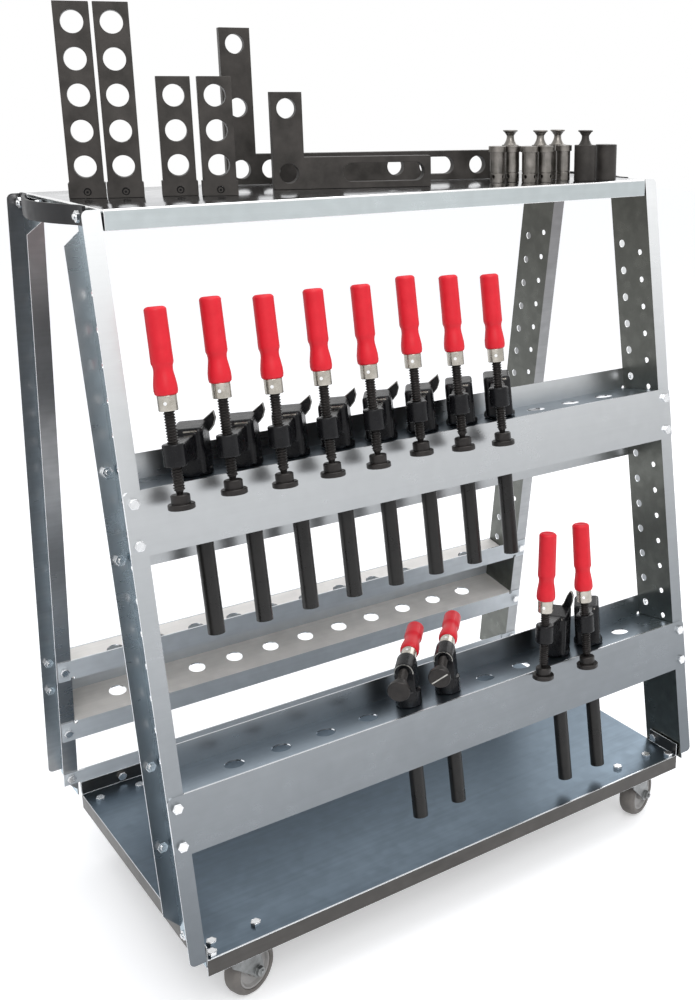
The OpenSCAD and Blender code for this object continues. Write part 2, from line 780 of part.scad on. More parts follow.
// A small pointed lever that stands out from the housing's side, or from its back when turned
module release_lever(lever, turn) {
    out = turn == 0 ? 0 : (housing_depth - housing_width) / 2;
    back = turn == 0 ? housing_depth / 2 : lever_thickness / 2;
    translate([out, back, 0]) rotate([90, 0, 0]) linear_extrude(lever_thickness) polygon(lever);
}

// The turning parts along the screw's axis, from the pad's face at z = 0 up to the end of the grip
module clamp_spindle(length, grip) {
    thread_top = length - grip - ferrule_height;
    color(BURNISHED) {
        cylinder(d = pad_diameter, h = pad_disc);
        translate([0, 0, pad_disc]) cylinder(d = pad_step_diameter, h = pad_step);
        translate([0, 0, pad_disc + pad_step]) cylinder(d = neck_diameter, h = neck_length);
        translate([0, 0, pad_disc + pad_step + neck_length])
            cylinder(d = screw_diameter, h = thread_top - pad_disc - pad_step - neck_length);
    }
    color(NICKEL) translate([0, 0, thread_top]) {
        cylinder(d = ferrule_diameter, h = ferrule_height);
        translate([0, 0, ferrule_height / 2]) rotate([90, 0, 0])
            cylinder(d = cross_pin, h = ferrule_diameter + 3, center = true);
    }
    color(RED) translate([0, 0, thread_top + ferrule_height]) rotate_extrude() grip_outline(grip);
}

// Half outline of the grip: a bulge above the ferrule, a waist and a long straight end
module grip_outline(grip) {
    r = grip_diameter / 2;
    polygon(concat(
        [[0, 0], [r - 2, 0], [r, 3], [r + 0.8, grip * 0.1], [r - 0.4, grip * 0.2], [r - 2.2, grip * 0.3]],
        [[r - 1.6, grip * 0.36], [r - 0.8, grip * 0.42], [r, grip - 5]],
        [for (a = [0:22.5:90]) [r - 5 + 5 * cos(a), grip - 5 + 5 * sin(a)]],
        [[0, grip]]
    ));
}

module clamp_screw(up, hole, swing, pad_drop, length, tilt) {
    at_hole(up, hole, swing) at_head(tilt) translate([0, -clamp_throat, -pad_drop])
        clamp_spindle(length, grip_length);
}

module large_clamp_body(i) {
    lever = i == 0 ? LONG_LEVER : SHORT_LEVER;
    clamp_body(lower_shelf_up, large_clamp_holes[i], large_swings[i], large_head, large_tilts[i], lever, 90 * i);
}

module large_clamp_screw(i) {
    clamp_screw(
        lower_shelf_up, large_clamp_holes[i], large_swings[i], large_pad_drop, large_screw_length, large_tilts[i]);
}

// The axis of a small clamp's screw: Z runs from the pad back to the grip
module small_axis() {
    translate([0, 0, small_axis_height]) rotate([-90 + small_tilt, 0, 0]) children();
}

module small_clamp_body(hole) {
    color(BLACK) at_hole(lower_shelf_up, hole, small_swing) difference() {
        union() {
            translate([0, 0, -small_tube_drop]) cylinder(d = tube_diameter, h = small_tube_drop + small_tube_top);
            translate([0, 0, rest_gap]) cylinder(d = small_sleeve, h = small_sleeve_height);
            translate([-small_head_width / 2, -small_head_front, small_head_foot])
                cube([small_head_width, small_head_depth, small_axis_height - small_head_foot]);
            small_axis() cylinder(d = small_head_width, h = small_boss, center = true);
        }
        small_axis() cylinder(d = screw_diameter + 2 * running_fit, h = 2 * small_boss, center = true);
    }
}

module small_clamp_screw(hole) {
    at_hole(lower_shelf_up, hole, small_swing) small_axis() translate([0, 0, -small_pad_reach])
        clamp_spindle(small_screw_length, small_grip);
}

// A flat bar with a row of large holes and a wider foot, standing on the top tray
module stop_bar(place, holes) {
    height = bar_first_hole + (holes - 1) * bar_pitch + bar_end;
    color(BURNISHED) on_table(place, bar_turn) translate([0, -bar_thickness / 2, 0]) difference() {
        union() {
            upright(-bar_width / 2, bar_width / 2, height, bar_thickness);
            upright(-bar_width / 2 - foot_extra / 2, bar_width / 2 + foot_extra / 2, foot_height, bar_thickness);
        }
        for (i = [0:holes - 1]) cross_hole(0, bar_first_hole + i * bar_pitch, 0, bar_thickness, bar_hole);
        cross_hole(0, screw_height, 0, bar_thickness, bar_screw);
    }
}

module upright(x0, x1, height, thickness) {
    translate([x0, 0, 0]) cube([x1 - x0, thickness, height]);
}

module on_table(place, turn) {
    translate([place[0], place[1], table_height + rest_gap]) rotate([0, 0, turn]) children();
}

// An angle of flat bar: a tall upright and a long leg that lies along the tray
module angle_stop(size, leg_holes, slot) {
    height = size[3];
    middle = angle_width / 2;
    color(BURNISHED) on_table(size, size[2]) difference() {
        union() {
            upright(0, angle_width, height, angle_thickness);
            upright(0, size[4], angle_width, angle_thickness);
        }
        for (z = [middle:angle_pitch:height]) cross_hole(middle, z, 0, angle_thickness, angle_hole);
        for (p = leg_holes) cross_hole(p, middle, 0, angle_thickness, angle_hole);
        for (p = slot) cross_hole(p, middle, 0, angle_thickness, slot_height);
        translate([slot[0], -past, middle - slot_height / 2])
            cube([slot[1] - slot[0], angle_thickness + 2 * past, slot_height]);
    }
}

module angle_stop_1() { angle_stop(tall_angle, tall_leg_holes, tall_slot); }
module angle_stop_2() { angle_stop(short_angle, [], short_slot); }

// A clamping bolt with a collar, a groove and a ring of ball sockets near its tip
module clamping_bolt(knob) {
    difference() {
        union() {
            cylinder(d = pin_diameter, h = pin_height);
            translate([0, 0, pin_height - pin_head]) cylinder(d = pin_diameter + pin_head_extra, h = pin_head);
            if (knob) knob(pin_height);
        }
        translate([0, 0, pin_groove_up]) difference() {
            cylinder(d = pin_diameter + past, h = 1.5);
            translate([0, 0, -past]) cylinder(d = pin_diameter - 2 * pin_groove, h = 1.5 + 2 * past);
        }
        for (a = [20, 110]) rotate([0, 0, a]) translate([0, 0, pin_ball_up]) rotate([0, 90, 0])
            cylinder(d = pin_ball, h = pin_diameter + 2 * past, center = true, $fn = 24);
    }
}

module knob(base) {
    translate([0, 0, base]) rotate_extrude() polygon([
        [0, -past], [knob_cap / 2, -past], [knob_cap / 2 - 3, 3], [knob_stem / 2 + 1, 8], [knob_stem / 2, 12],
        [knob_stem / 2, knob_height - 9], [knob_cap / 2 - 2, knob_height - 3], [knob_cap / 2, knob_height - 2],
        [knob_cap / 2, knob_height], [0, knob_height]
    ]);
}

module clamping_bolts() {
    color(STEEL) {
        for (p = pin_places) on_table(p, 0) clamping_bolt(false);
        for (p = knob_pin_places) on_table(p, 0) clamping_bolt(true);
    }
}

module stop_bolts() {
    color(BURNISHED) for (i = [0:len(black_pin_places) - 1]) on_table(black_pin_places[i], 0) {
        cylinder(d = black_pin, h = pin_height);
        if (i == 0) knob(pin_height);
    }
}

post_front_left();
post_front_right();
post_rear_left();
post_rear_right();
top_tray();
upper_front_shelf();
lower_front_shelf();
rear_shelf();
bottom_tray();
rear_rail();
grab_strap_left();
grab_strap_right();
frame_bolts();
frame_nuts();
caster_plates();
for (i = [0:3]) {
    caster_fork(2 * (i % 2) - 1, i < 2 ? -1 : 1);
    caster_wheel(2 * (i % 2) - 1, i < 2 ? -1 : 1);
    caster_tyre(2 * (i % 2) - 1, i < 2 ? -1 : 1);
}
for (i = [1:8]) {
    clamp_body(upper_shelf_up, i, upper_swing, upper_head, 0, SHORT_LEVER, i > 6 ? 90 : 0);
    clamp_screw(upper_shelf_up, i, upper_swing, upper_pad_drops[i - 1], screw_length, 0);
}
for (i = [1:2]) {
    large_clamp_body(i - 1);
    large_clamp_screw(i - 1);
    small_clamp_body(small_clamp_holes[i - 1]);
    small_clamp_screw(small_clamp_holes[i - 1]);
}
stop_bar(bar_places[0], tall_holes);  // tall_stop_bar_1
stop_bar(bar_places[1], tall_holes);  // tall_stop_bar_2
stop_bar(bar_places[2], short_holes);  // short_stop_bar_1
stop_bar(bar_places[3], short_holes);  // short_stop_bar_2
angle_stop_1();
angle_stop_2();
clamping_bolts();
stop_bolts();
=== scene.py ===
import math

import bmesh
import bpy
from mathutils import Matrix, Vector


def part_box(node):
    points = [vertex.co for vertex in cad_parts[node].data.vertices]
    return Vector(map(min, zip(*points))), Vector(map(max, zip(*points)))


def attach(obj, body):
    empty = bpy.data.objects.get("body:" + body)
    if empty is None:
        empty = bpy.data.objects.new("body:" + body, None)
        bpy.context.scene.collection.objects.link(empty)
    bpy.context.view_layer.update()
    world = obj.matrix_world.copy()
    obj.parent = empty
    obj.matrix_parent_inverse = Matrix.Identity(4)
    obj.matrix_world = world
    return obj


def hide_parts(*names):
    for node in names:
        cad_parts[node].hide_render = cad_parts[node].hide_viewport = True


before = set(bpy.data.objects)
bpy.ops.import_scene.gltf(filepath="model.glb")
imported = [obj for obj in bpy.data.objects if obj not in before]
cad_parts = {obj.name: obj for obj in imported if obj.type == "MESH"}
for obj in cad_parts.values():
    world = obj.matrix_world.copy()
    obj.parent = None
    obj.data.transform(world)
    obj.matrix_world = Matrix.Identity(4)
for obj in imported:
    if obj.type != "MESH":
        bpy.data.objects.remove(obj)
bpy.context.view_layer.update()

# Driving sizes of the carrier, in metres, the same as the CAD's
LEAN = math.radians(8.5)
FOOT_REACH = 0.337
DECK_HEIGHT = 0.127
SHEET = 0.002
POST_TOP = 1.1165
TABLE_HEIGHT = DECK_HEIGHT + POST_TOP * math.cos(LEAN)
UPPER_SHELF_UP = 0.732
LOWER_SHELF_UP = 0.277
HOLE_PITCH = 0.08
HOLE_SETBACK = 0.042
REST_GAP = 0.0003
BEND = 0.0026
SHEET_EDGE = 0.0006
MIDDLE_HOLE = 6

# Corners, in radians: the least that shades as sharp, that the edge bevel takes, that parts two faces
# of a sheet, that counts as its bend, and that isn't melted away as flat
SHARP_ANGLE = math.radians(34)
BEVEL_ANGLE = math.radians(32)
FACE_ANGLE = 0.02
BEND_ANGLE = 0.8
FLAT_ANGLE = math.radians(0.6)

# Points closer than this are one, and a sheet's face narrower than the cut width is a cut edge
WELD = 2e-6
CUT_WIDTH = 1.1 * SHEET

# A face looks along an axis when its normal's share of that axis is above this
STRAIGHT = 0.9

CORNERS = ["front_left", "front_right", "rear_left", "rear_right"]

# Skins of a sheet piece, by their place in its list; a tray has only the first two and its top. Each is a
# tone of the same zinc picked by which way a face looks: painted light and shade, and EDGE a painted
# highlight
PLAIN, EDGE, SIDE, INSIDE, FLOOR, BACK = range(6)
TOP = 2

# Stop bars on the top tray, in metres and their turn in degrees
BAR_PLACES = {
    "tall_stop_bar_1": (-0.451, 0.017), "tall_stop_bar_2": (-0.401, -0.004),
    "short_stop_bar_1": (-0.323, -0.021), "short_stop_bar_2": (-0.273, -0.054),
}
BAR_TURN = -20
BAR_THICKNESS = 0.025
BAR_SCREW_HEIGHT = 0.009
BAR_SCREW_RADIUS = 0.0054

# Clamps, in metres; outlines of levers and drops of pads in millimetres, swings, LARGE_TILTS and
# GROOVE_TURN in degrees
THROAT = 0.105
TUBE_RADIUS = 0.013
TUBE_WALL = 0.002
TUBE_DROP = 0.244
TUBE_TOP = 0.060
COLLAR_RADIUS = 0.027
COLLAR_HEIGHT = 0.009
HOUSING_X = 0.023
HOUSING_Y = 0.027
HOUSING_CORNER = 0.006
BOSS_RADIUS = 0.016
BOSS_HEIGHT = 0.032
ARM_HALF = 0.012
LEVER_HALF = 0.004
SHORT_LEVER = [(12, 60), (24, 59), (31, 67), (35, 78), (33, 90), (28, 86), (14, 76)]
LONG_LEVER = [(-3, 74), (8, 88), (14, 104), (19, 113), (23, 112), (26, 104), (25, 92), (20, 74)]
SCREW_RADIUS = 0.008
SCREW_CLEARANCE = 0.0003
THREAD_DEPTH = 0.0017
THREAD_PITCH = 0.004
NECK_RADIUS = 0.0045
PAD_RADIUS = 0.019
PAD_DISC = 0.008
PAD_STEP = 0.013
PAD_STEP_RADIUS = 0.0135
NECK_LENGTH = 0.005
FERRULE_RADIUS = 0.0135
FERRULE_HEIGHT = 0.022
CROSS_PIN_RADIUS = 0.0025
GRIP_LENGTH = 0.120
GRIP_RADIUS = 0.0155
SCREW_LENGTH = 0.280
UPPER_HEAD = (0.078, 0.0315)
UPPER_SWING = 35
UPPER_PAD_DROPS = [29, 23, 28, 27, 28, 22, 28, 33]
LARGE_HEAD = (0.084, 0.057)
LARGE_HOLES = [9, 10]
LARGE_SWINGS = [51, 42]
LARGE_TILTS = [6.5, 1.5]
LARGE_PAD_DROP = 10
LARGE_SCREW_LENGTH = 0.264
SMALL_HOLES = [5, 6]
SMALL_SWING = 43
SMALL_TUBE_DROP = 0.203
SMALL_TUBE_TOP = 0.040
SMALL_SLEEVE_RADIUS = 0.0225
SMALL_AXIS_HEIGHT = 0.066
SMALL_TILT = math.radians(14.5)
SMALL_BOSS = 0.036
SMALL_PAD_REACH = 0.072
SMALL_SCREW_LENGTH = 0.192
SMALL_GRIP = 0.078
SMALL_HEAD_RADIUS = 0.017
GROOVE_TURN = -32
LARGE_VOXEL = 0.0016
SMALL_VOXEL = 0.0015
LEVERS_BEHIND = ["clamp_7", "clamp_8", "large_clamp_2"]
GROOVED = ["small_clamp_2"]

# Camera, placed as the photograph was taken, in metres, degrees and millimetres of lens
CAMERA_PLACE = (-1.0571, -1.7920, 1.3817)
CAMERA_YAW = 36.58
CAMERA_PITCH = -17.24
CAMERA_ROLL = 0.08
CAMERA_LENS = 43.22
CAMERA_SHIFT = (-0.1400, -0.0354)

# Half the width of the studio floor
FLOOR_HALF = 12


def make_camera():
    data = bpy.data.cameras.new("camera")
    data.sensor_width = 36
    data.lens = CAMERA_LENS
    data.shift_x, data.shift_y = CAMERA_SHIFT
    data.clip_start, data.clip_end = 0.05, 100
    camera = bpy.data.objects.new("camera", data)
    bpy.context.scene.collection.objects.link(camera)
    turn = Matrix.Rotation(math.radians(-CAMERA_YAW), 4, "Z")
    tilt = Matrix.Rotation(math.radians(90 + CAMERA_PITCH), 4, "X")
    roll = Matrix.Rotation(math.radians(CAMERA_ROLL), 4, "Z")
    camera.matrix_world = Matrix.Translation(CAMERA_PLACE) @ turn @ tilt @ roll
    bpy.context.scene.camera = camera


def make_floor():
    corners = [(x * FLOOR_HALF, y * FLOOR_HALF, 0) for x, y in ((-1, -1), (1, -1), (1, 1), (-1, 1))]
    mesh = bpy.data.meshes.new("floor")
    mesh.from_pydata(corners, [], [(0, 1, 2, 3)])
    floor = link("floor", mesh)
    mesh.materials.append(floor_material())


def link(name, mesh):
    piece = bpy.data.objects.new(name, mesh)
    bpy.context.scene.collection.objects.link(piece)
    return piece


def make_light(name, place, aim, size, power):
    data = bpy.data.lights.new(name, "AREA")
    data.shape = "RECTANGLE"
    data.size, data.size_y = size
    data.energy = power
    light = bpy.data.objects.new(name, data)
    bpy.context.scene.collection.objects.link(light)
    light.location = place
    light.rotation_euler = (Vector(aim) - Vector(place)).to_track_quat("-Z", "Y").to_euler()


def seen_directly(tree):
    """1 for the camera, mirrors and glass, so that they meet the plain white background."""
    rays = tree.nodes.new("ShaderNodeLightPath")
    sharp = add(tree, "ShaderNodeMath", {0: rays.outputs["Is Camera Ray"], 1: rays.outputs["Is Glossy Ray"]},
                operation="MAXIMUM")
    return add(tree, "ShaderNodeMath", {0: sharp.outputs[0], 1: rays.outputs["Is Transmission Ray"]},
               operation="MAXIMUM").outputs[0]


def make_world():
    """White background, with a softer studio surround behind it that dims to the left."""
    world = bpy.data.worlds.new("studio")
    bpy.context.scene.world = world
    world.use_nodes = True
    tree = world.node_tree
    tree.nodes.clear()
    where = tree.nodes.new("ShaderNodeTexCoord")
    side = tree.nodes.new("ShaderNodeVectorMath")
    side.operation = "DOT_PRODUCT"
    side.inputs[1].default_value = (-0.93, -0.30, -0.2)
    tree.links.new(where.outputs["Generated"], side.inputs[0])
    ramp = tree.nodes.new("ShaderNodeValToRGB")
    ramp.color_ramp.interpolation = "EASE"
    ramp.color_ramp.elements[0].position = 0.25
    ramp.color_ramp.elements[0].color = (0.93, 0.95, 1.0, 1)
    ramp.color_ramp.elements[1].position = 0.85
    ramp.color_ramp.elements[1].color = (0.30, 0.31, 0.33, 1)
    tree.links.new(side.outputs["Value"], ramp.inputs["Fac"])
    surround = add(tree, "ShaderNodeBackground", {"Color": ramp.outputs["Color"], "Strength": 0.80})
    white = add(tree, "ShaderNodeBackground", {"Color": (1, 1, 1, 1), "Strength": 1.0})
    choice = {0: seen_directly(tree), 1: surround.outputs[0], 2: white.outputs[0]}
    mix = add(tree, "ShaderNodeMixShader", choice)
    out = tree.nodes.new("ShaderNodeOutputWorld")
    tree.links.new(mix.outputs["Shader"], out.inputs["Surface"])


# Shared effects, as groups with named inputs and outputs
def new_group(name, inputs, outputs):
    group = bpy.data.node_groups.new(name, "ShaderNodeTree")
    for label, kind, value in inputs:
        socket = group.interface.new_socket(label, in_out="INPUT", socket_type=kind)
        socket.default_value = value
    for label, kind in outputs:
        group.interface.new_socket(label, in_out="OUTPUT", socket_type=kind)
    return group, group.nodes.new("NodeGroupInput"), group.nodes.new("NodeGroupOutput")


def add(tree, kind, links=(), **settings):
    """One node: settings are its properties, and links its inputs as values or sockets."""
    node = tree.nodes.new(kind)
    for key, value in settings.items():
        setattr(node, key, value)
    for key, value in dict(links).items():
        if isinstance(value, bpy.types.NodeSocket):
            tree.links.new(value, node.inputs[key])
        else:
            node.inputs[key].default_value = value
    return node


def two_tones(tree, fac, dark, light):
    mix = add(tree, "ShaderNodeMix", data_type="RGBA")
    tree.links.new(fac, mix.inputs["Factor"])
    sockets = [s for s in mix.inputs if s.type == "RGBA"]
    sockets[0].default_value = (*dark, 1)
    sockets[1].default_value = (*light, 1)
    return [s for s in mix.outputs if s.type == "RGBA"][0]


def spread(tree, value, low, high, to_low, to_high):
    node = add(tree, "ShaderNodeMapRange", {"Value": value, "From Min": low, "From Max": high,
                                            "To Min": to_low, "To Max": to_high})
    return node.outputs["Result"]


def zinc_skin_group():
    """Soft spangle, cloudy tone and drawn streaks of zinc, and the piece's height above the floor as Rise,
    which sets the painted shade that changes the zinc's tone with height.
    """
    group, given, result = new_group(
        "zinc_skin",
        [("Spangle Scale", "NodeSocketFloat", 60.0), ("Streak", "NodeSocketFloat", 0.5)],
        [("Tone", "NodeSocketFloat"), ("Rise", "NodeSocketFloat")],
    )
    where = add(group, "ShaderNodeTexCoord").outputs["Object"]
    cells = add(group, "ShaderNodeTexVoronoi", {"Vector": where, "Randomness": 1.0}, feature="SMOOTH_F1")
    group.links.new(given.outputs["Spangle Scale"], cells.inputs["Scale"])
    cell_tone = add(group, "ShaderNodeSeparateColor", {"Color": cells.outputs["Color"]}).outputs[0]
    clouds = add(group, "ShaderNodeTexNoise", {"Vector": where, "Scale": 4.0, "Detail": 5.0}).outputs["Fac"]
    stretched = add(group, "ShaderNodeMapping", {"Vector": where, "Scale": (2.0, 160.0, 160.0)})
    drawn = {"Vector": stretched.outputs["Vector"], "Scale": 1.0, "Detail": 3.0}
    streaks = add(group, "ShaderNodeTexNoise", drawn).outputs["Fac"]
    streak_part = add(group, "ShaderNodeMath", {0: streaks, 1: given.outputs["Streak"]}, operation="MULTIPLY")
    cell_part = add(group, "ShaderNodeMath", {0: cell_tone, 1: 0.35}, operation="MULTIPLY").outputs[0]
    both = add(group, "ShaderNodeMath", {0: cell_part, 1: clouds}, operation="ADD").outputs[0]
    tone = add(group, "ShaderNodeMath", {0: both, 1: streak_part.outputs[0]}, operation="ADD").outputs[0]
    group.links.new(spread(group, tone, 0.55, 1.3, 0.0, 1.0), result.inputs["Tone"])
    height = add(group, "ShaderNodeSeparateXYZ", {"Vector": where}).outputs["Z"]
    share = spread(group, height, 0.1, 1.2, 0.0, 1.0)
    climb = add(group, "ShaderNodeMath", {0: share, 1: 1.6}, operation="POWER")
    group.links.new(climb.outputs[0], result.inputs["Rise"])
    return group


def worn_skin_group():
    """Fine grain with rubbed patches, for coated and cast pieces."""
    group, given, result = new_group(
        "worn_skin",
        [("Grain Scale", "NodeSocketFloat", 900.0), ("Patch Scale", "NodeSocketFloat", 30.0)],
        [("Grain", "NodeSocketFloat"), ("Patches", "NodeSocketFloat")],
    )
    where = add(group, "ShaderNodeTexCoord").outputs["Object"]
    grain = add(group, "ShaderNodeTexNoise", {"Vector": where, "Detail": 2.0})
    group.links.new(given.outputs["Grain Scale"], grain.inputs["Scale"])
    patches = add(group, "ShaderNodeTexNoise", {"Vector": where, "Detail": 5.0, "Roughness": 0.6})
    group.links.new(given.outputs["Patch Scale"], patches.inputs["Scale"])
    group.links.new(grain.outputs["Fac"], result.inputs["Grain"])
    group.links.new(spread(group, patches.outputs["Fac"], 0.35, 0.7, 0.0, 1.0), result.inputs["Patches"])
    return group


ZINC_SKIN = zinc_skin_group()
WORN_SKIN = worn_skin_group()


def new_material(name, metallic, specular=0.5):
    material = bpy.data.materials.new(name)
    material.use_nodes = True
    tree = material.node_tree
    shader = tree.nodes["Principled BSDF"]
    shader.inputs["Metallic"].default_value = metallic
    shader.inputs["Specular IOR Level"].default_value = specular
    return material, tree, shader


def multiplied(tree, one, two):
    mix = add(tree, "ShaderNodeMix", data_type="RGBA", blend_type="MULTIPLY")
    mix.inputs["Factor"].default_value = 1.0
    sockets = [s for s in mix.inputs if s.type == "RGBA"]
    tree.links.new(one, sockets[0])
    tree.links.new(two, sockets[1])
    return [s for s in mix.outputs if s.type == "RGBA"][0]


def bump(tree, shader, height, strength, distance):
    node = add(tree, "ShaderNodeBump", {"Height": height, "Strength": strength, "Distance": distance})
    tree.links.new(node.outputs["Normal"], shader.inputs["Normal"])


def galvanised_material(name, colour, rough, low_shade=(1, 1, 1), contrast=0.1, streak=0.5, metallic=1.0):
    """Zinc with painted light and shade by height: toward the floor its colour is multiplied by low_shade,
    which darkens it below 1 and lightens it above 1.
    """
    material, tree, shader = new_material(name, metallic)
    skin = add(tree, "ShaderNodeGroup", node_tree=ZINC_SKIN)
    skin.inputs["Streak"].default_value = streak
    tone = skin.outputs["Tone"]
    dark = [c * (1 - contrast) for c in colour]
    light = [min(1.0, c * (1 + contrast)) for c in colour]
    # Painted shade by height: the colour is multiplied from low_shade at the floor to white at the top
    painted_height_shade = two_tones(tree, skin.outputs["Rise"], low_shade, (1, 1, 1))
    tree.links.new(multiplied(tree, two_tones(tree, tone, dark, light), painted_height_shade), shader.inputs["Base Color"])
    tree.links.new(spread(tree, tone, 0.0, 1.0, rough + 0.05, rough - 0.05), shader.inputs["Roughness"])
    bump(tree, shader, tone, 0.05, 0.0003)
    return material


def worn_material(name, dark, light, rough, metallic, grain=900.0, patch=30.0, strength=0.15, specular=0.5):
    """Base for coated, cast and moulded pieces: two tones in patches over a fine grain."""
    material, tree, shader = new_material(name, metallic, specular)
    skin = add(tree, "ShaderNodeGroup", node_tree=WORN_SKIN)
    skin.inputs["Grain Scale"].default_value = grain
    skin.inputs["Patch Scale"].default_value = patch
    tree.links.new(two_tones(tree, skin.outputs["Patches"], dark, light), shader.inputs["Base Color"])
    roughness = spread(tree, skin.outputs["Patches"], 0.0, 1.0, *rough)
    tree.links.new(roughness, shader.inputs["Roughness"])
    bump(tree, shader, skin.outputs["Grain"], strength, 0.0004)
    return material


def floor_material():
    """Pale floor that meets the white background and keeps the carrier's shadow."""
    material, tree, shader = new_material("studio_floor", 0.0, specular=0.2)
    clouds = add(tree, "ShaderNodeTexNoise", {"Scale": 0.6, "Detail": 2.0}).outputs["Fac"]
    tone = two_tones(tree, clouds, (0.80, 0.80, 0.80), (0.84, 0.84, 0.84))
    tree.links.new(tone, shader.inputs["Base Color"])
    shader.inputs["Roughness"].default_value = 0.9
    lift = add(tree, "ShaderNodeEmission", {"Color": (1, 1, 1, 1), "Strength": 0.40})
    bright = add(tree, "ShaderNodeAddShader", {0: shader.outputs[0], 1: lift.outputs[0]})
    choice = {0: seen_directly(tree), 1: shader.outputs[0], 2: bright.outputs[0]}
    mix = add(tree, "ShaderNodeMixShader", choice)
    tree.links.new(mix.outputs[0], tree.nodes["Material Output"].inputs["Surface"])
    return material


# All zinc skins are one galvanised steel. Apart from ZINC, each tone is painted light or shade for faces that
# look one way (lips, sides, insides, backs, floors, deck, table top, rear shelf), ZINC_EDGE is a painted
# highlight on cut edges, bends and bevels, and every low_shade is painted shade by height
ZINC = galvanised_material("galvanised_steel", (0.89, 0.905, 0.91), 0.30, (0.165, 0.180, 0.195), 0.05)
ZINC_LIP = galvanised_material("zinc_lip", (0.53, 0.575, 0.58), 0.30, (0.5, 0.5, 0.5))
ZINC_EDGE = galvanised_material("zinc_edge", (0.97, 0.975, 0.98), 0.25, (0.80, 0.82, 0.84), 0.03)
ZINC_SIDE = galvanised_material("zinc_side", (0.24, 0.30, 0.34), 0.25, (1.9, 1.9, 1.9), 0.25, 0.3)
ZINC_INSIDE = galvanised_material("zinc_inside", (0.085, 0.085, 0.075), 0.28, (2.0, 2.1, 2.2), 0.25, 0.3)
ZINC_BACK = galvanised_material("zinc_back", (0.20, 0.195, 0.195), 0.30, (1.7, 1.8, 1.85), 0.15)
ZINC_FLOOR = galvanised_material("zinc_floor", (0.27, 0.32, 0.37), 0.30, (1.25, 1.25, 1.25), 0.15)
ZINC_DECK = galvanised_material("zinc_deck", (0.155, 0.20, 0.245), 0.33, (1, 1, 1), 0.15)
ZINC_LOW_LIP = galvanised_material("zinc_low_lip", (0.11, 0.105, 0.10), 0.35, (0.8, 0.8, 0.8), 0.15)
ZINC_TABLE = galvanised_material("zinc_table", (0.42, 0.43, 0.45), 0.14, (1, 1, 1), 0.10)
# The rear shelf's skins are lighter and hardly metallic: painted light that keeps that shelf bright
ZINC_REAR = galvanised_material("zinc_rear", (0.64, 0.68, 0.71), 0.40, (0.9, 0.9, 0.9), metallic=0.25)
ZINC_REAR_FLOOR = galvanised_material("zinc_rear_floor", (0.88, 0.85, 0.81), 0.45, (0.95, 0.95, 0.95),
                                      metallic=0.1)
SHEET_SKINS = [ZINC, ZINC_EDGE, ZINC_SIDE, ZINC_INSIDE, ZINC_FLOOR, ZINC_BACK]
REAR_SKINS = [ZINC_REAR, ZINC_EDGE, ZINC_SIDE, ZINC_INSIDE, ZINC_REAR_FLOOR]
BRIGHT_ZINC = worn_material("bright_zinc", (0.72, 0.73, 0.74), (0.86, 0.87, 0.88), (0.18, 0.3), 1.0, 1500,
                            90, 0.05)
PRESSED_ZINC = worn_material("pressed_zinc", (0.16, 0.165, 0.165), (0.30, 0.31, 0.31), (0.3, 0.45), 1.0,
                             700, 60, 0.1)
WHEEL_CORE = worn_material("wheel_core", (0.30, 0.29, 0.28), (0.37, 0.36, 0.345), (0.4, 0.55), 0.0, 1200,
                           40, 0.08)
TYRE = worn_material("grey_tyre", (0.125, 0.115, 0.105), (0.19, 0.175, 0.16), (0.55, 0.75), 0.0, 1600, 50,
                     0.25)
CAST_BLACK = worn_material("cast_black", (0.005, 0.005, 0.006), (0.009, 0.009, 0.010), (0.22, 0.34), 0.0,
                           700, 60, 0.2, specular=0.22)
# Painted highlight for the lever bevels, the small clamps' rim rings and the pad groove: a bright skin
# standing in for light caught on edges
EDGE_HIGHLIGHT = worn_material("painted_edge_highlight", (0.30, 0.29, 0.27), (0.55, 0.54, 0.50), (0.25, 0.4), 1.0, 900, 60,
                          0.05)
TUBE_BLACK = worn_material("tube_black", (0.008, 0.0075, 0.007), (0.016, 0.015, 0.014), (0.25, 0.4), 0.0,
                           900, 25, 0.08, specular=0.3)
THREAD_BLACK = worn_material("thread_black", (0.018, 0.016, 0.015), (0.036, 0.032, 0.030), (0.30, 0.45),
                             0.6, 1100, 45, 0.12)
STOP_STEEL = worn_material("stop_steel", (0.030, 0.027, 0.024), (0.060, 0.054, 0.049), (0.42, 0.6), 0.3,
                           1100, 30, 0.12, specular=0.3)
BOLT_STEEL = worn_material("bolt_steel", (0.16, 0.15, 0.135), (0.28, 0.26, 0.24), (0.3, 0.45), 1.0, 1000,
                           60, 0.08)
RED_GRIP = worn_material("red_grip", (0.66, 0.010, 0.022), (0.72, 0.014, 0.028), (0.40, 0.5), 0.0, 1300,
                         60, 0.06, specular=0.35)
NICKEL = worn_material("nickel", (0.40, 0.375, 0.33), (0.55, 0.52, 0.465), (0.2, 0.34), 1.0, 1300, 80, 0.06)
STRAP_BLACK = worn_material("strap_black", (0.010, 0.010, 0.011), (0.018, 0.018, 0.019), (0.35, 0.5), 0.0,
                            1000, 40, 0.12, specular=0.3)


# Frames of reference; FACING turns Z toward -Y
FACING = Matrix.Rotation(math.pi / 2, 4, "X")
FRONT = Matrix.Translation((0, -FOOT_REACH, DECK_HEIGHT)) @ Matrix.Rotation(-LEAN, 4, "X")


def hole_frame(up, hole, swing):
    """Stands on a front shelf's hole: Z up the slope, -Y along the clamp's arm."""
    x = (hole - MIDDLE_HOLE) * HOLE_PITCH
    return FRONT @ Matrix.Translation((x, HOLE_SETBACK, up)) @ Matrix.Rotation(math.radians(-swing), 4, "Z")


# Mesh makers
def to_object(name, bm):
    bmesh.ops.recalc_face_normals(bm, faces=bm.faces)
    mesh = bpy.data.meshes.new(name)
    bm.to_mesh(mesh)
    bm.free()
    for polygon in mesh.polygons:
        polygon.use_smooth = True
    mesh.set_sharp_from_angle(angle=SHARP_ANGLE)
    return link(name, mesh)


